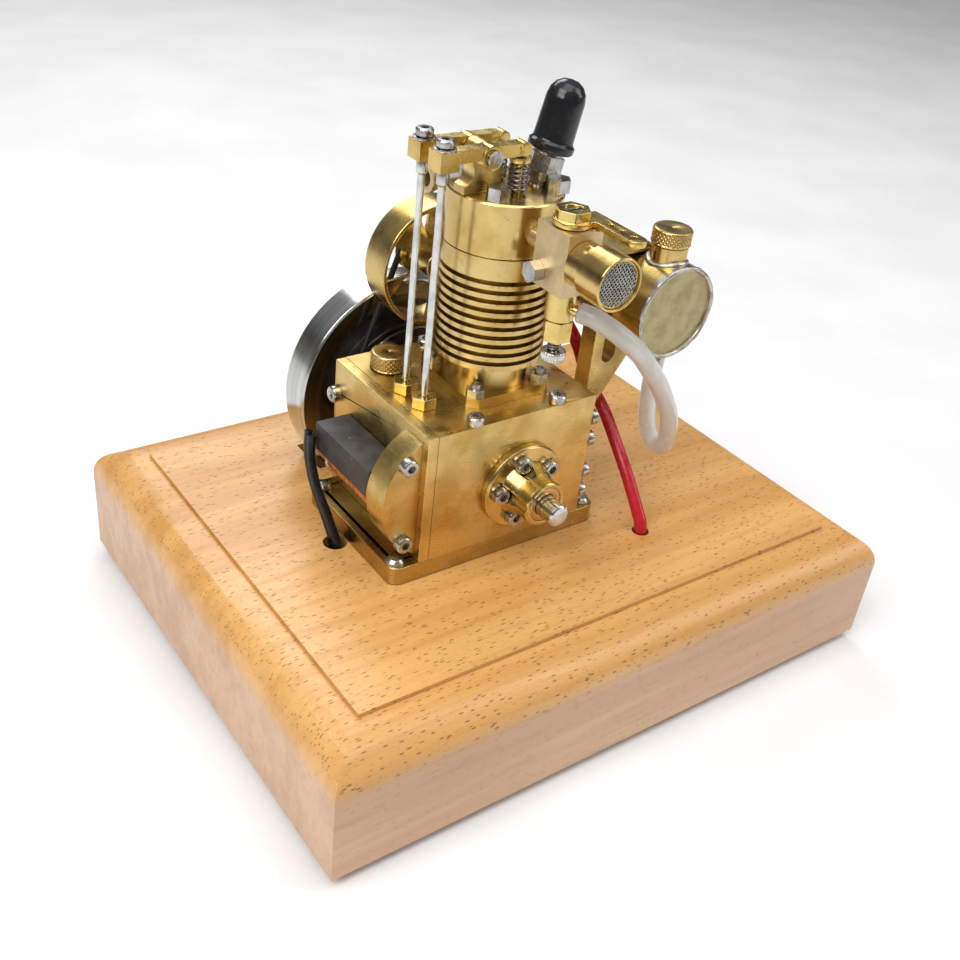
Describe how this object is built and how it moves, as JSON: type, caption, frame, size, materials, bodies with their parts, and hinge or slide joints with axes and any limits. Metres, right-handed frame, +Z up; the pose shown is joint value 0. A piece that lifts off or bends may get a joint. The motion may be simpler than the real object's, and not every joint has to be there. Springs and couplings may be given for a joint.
{
  "type": "model engine",
  "caption": "Model upright single-cylinder petrol engine in brass on a wooden base, with flywheel, belt-driven fan, pushrod valve gear, carburettor and side fuel tank.",
  "frame": {"origin": "centre of the footprint, on the plane the rubber feet rest on", "axes": "+Z up; -Y is the front, where the bare end of the crankshaft comes out; +X is the fuel tank side; the crankshaft lies along Y"},
  "size_m": [0.15, 0.12, 0.1298],
  "materials": {
    "beech": "clear satin varnish",
    "foot_rubber": "matt",
    "brass": "satin machined",
    "cast_brass": "fine blasted",
    "polished_steel": "polished",
    "dark_steel": "dark, lightly oiled",
    "screw_steel": "machined",
    "bronze": "machined bearing bronze",
    "mesh_wire": "woven wire",
    "nickel": "nickel plated",
    "boot_rubber": "gloss",
    "belt_rubber": "satin",
    "red_rubber": "satin silicone",
    "black_vinyl": "gloss",
    "clear_hose": "clear vinyl",
    "black_core": "matt moulded",
    "copper_wire": "enamelled copper wire",
    "aluminium": "machined"
  },
  "bodies": {
    "frame": {"bed_plate": "brass", "bed_plate_screws": "screw_steel", "carburettor_body": "cast_brass", "crankcase_front_plate": "brass", "crankcase_left_plate": "brass", "crankcase_rear_plate": "brass", "crankcase_right_plate": "brass", "crankcase_top_plate": "brass", "cylinder_barrel": "brass", "cylinder_head": "brass", "cylinder_nuts": "screw_steel", "drive_belt": "belt_rubber", "exhaust_elbow": "cast_brass", "exhaust_valve_spring": "dark_steel", "fan_bracket": "brass", "front_bearing_boss": "brass", "fuel_hose": "clear_hose", "fuel_nipples": "brass", "fuel_tank": "cast_brass", "gear_cover": "brass", "hex_bolts": "screw_steel", "ignition_lead": "red_rubber", "intake_cup": "brass", "intake_mesh": "mesh_wire", "intake_valve_spring": "dark_steel", "needle_housing": "brass", "pickup_core": "black_core", "pickup_leads": "black_vinyl", "pickup_winding": "copper_wire", "pushrod_guides": "brass", "rocker_pedestal": "brass", "rocker_shaft": "polished_steel", "rubber_feet": "foot_rubber", "shaft_bearings": "bronze", "socket_screws": "screw_steel", "spark_plug": "screw_steel", "spark_plug_boot": "boot_rubber", "tank_bracket": "cast_brass", "wooden_base": "beech"},
    "crank": {"crankshaft": "polished_steel", "flywheel": "polished_steel", "crank_gear": "dark_steel"},
    "cam": {"camshaft": "dark_steel", "cam_gear": "brass"},
    "piston": {"piston": "aluminium"},
    "rod": {"connecting_rod": "aluminium"},
    "intake_pushrod": {"intake_pushrod": "polished_steel"},
    "exhaust_pushrod": {"exhaust_pushrod": "polished_steel"},
    "intake_rocker": {"intake_rocker": "brass", "intake_adjuster": "dark_steel"},
    "exhaust_rocker": {"exhaust_rocker": "brass", "exhaust_adjuster": "dark_steel"},
    "intake_valve": {"intake_valve": "screw_steel"},
    "exhaust_valve": {"exhaust_valve": "screw_steel"},
    "throttle": {"throttle_lever": "brass", "throttle_barrel": "screw_steel"},
    "needle": {"needle_knob": "nickel"},
    "tank_cap": {"tank_filler_cap": "brass"},
    "oil_cap": {"oil_filler_cap": "brass"},
    "fan": {"fan_rotor": "brass"}
  },
  "joints": [
    {"name": "crank_spin", "type": "hinge", "parent": "frame", "child": "crank", "pos_m": [-0.009, -0.0046, 0.049], "axis": [0, 1, 0], "continuous": true},
    {"name": "fan_spin", "type": "hinge", "parent": "frame", "child": "fan", "pos_m": [-0.009, 0.02, 0.08425], "axis": [0, 1, 0], "continuous": true},
    {"name": "cam_spin", "type": "hinge", "parent": "frame", "child": "cam", "pos_m": [-0.02715, -0.005, 0.05081], "axis": [0, 1, 0], "continuous": true},
    {"name": "piston_slide", "type": "slide", "parent": "frame", "child": "piston", "axis": [0, 0, 1], "range_m": [-0.015, 0]},
    {"name": "rod_swing", "type": "hinge", "parent": "piston", "child": "rod", "pos_m": [-0.009, -0.0046, 0.0903], "axis": [0, 1, 0], "range_deg": [-12.8, 12.8]},
    {"name": "intake_rocker_swing", "type": "hinge", "parent": "frame", "child": "intake_rocker", "pos_m": [-0.017, -0.0086, 0.1176], "axis": [0, 1, 0], "range_deg": [0, 7.8]},
    {"name": "intake_pushrod_lift", "type": "slide", "parent": "frame", "child": "intake_pushrod", "axis": [0, 0, 1], "range_m": [0, 0.00137]},
    {"name": "intake_valve_lift", "type": "slide", "parent": "frame", "child": "intake_valve", "axis": [0, 0, 1], "range_m": [-0.00104, 0], "deforming": ["intake_valve_spring"]},
    {"name": "exhaust_rocker_swing", "type": "hinge", "parent": "frame", "child": "exhaust_rocker", "pos_m": [-0.017, -0.0016, 0.1176], "axis": [0, 1, 0], "range_deg": [0, 7.8]},
    {"name": "exhaust_pushrod_lift", "type": "slide", "parent": "frame", "child": "exhaust_pushrod", "axis": [0, 0, 1], "range_m": [0, 0.00137]},
    {"name": "exhaust_valve_lift", "type": "slide", "parent": "frame", "child": "exhaust_valve", "axis": [0, 0, 1], "range_m": [-0.00104, 0], "deforming": ["exhaust_valve_spring"]},
    {"name": "throttle_turn", "type": "hinge", "parent": "frame", "child": "throttle", "pos_m": [-0.0094, -0.0258, 0.1099], "axis": [0, 0, 1], "range_deg": [0, 75]},
    {"name": "needle_turn", "type": "hinge", "parent": "frame", "child": "needle", "pos_m": [-0.0091, -0.0258, 0.09], "axis": [0, 0, 1], "range_deg": [0, 360]},
    {"name": "tank_cap_lift", "type": "slide", "parent": "frame", "child": "tank_cap", "axis": [0, 0, 1], "range_m": [0, 0.012]},
    {"name": "oil_cap_lift", "type": "slide", "parent": "frame", "child": "oil_cap", "axis": [0, 0, 1], "range_m": [0, 0.012]}
  ],
  "couplings": [
    {"joint": "fan_spin", "follows": "crank_spin", "ratio": 4.8387},
    {"joint": "cam_spin", "follows": "crank_spin", "ratio": -0.5},
    {"joint": "intake_pushrod_lift", "follows": "intake_rocker_swing", "m_per_rad": 0.01},
    {"joint": "intake_valve_lift", "follows": "intake_rocker_swing", "m_per_rad": -0.0076},
    {"joint": "exhaust_pushrod_lift", "follows": "exhaust_rocker_swing", "m_per_rad": 0.01},
    {"joint": "exhaust_valve_lift", "follows": "exhaust_rocker_swing", "m_per_rad": -0.0076}
  ]
}
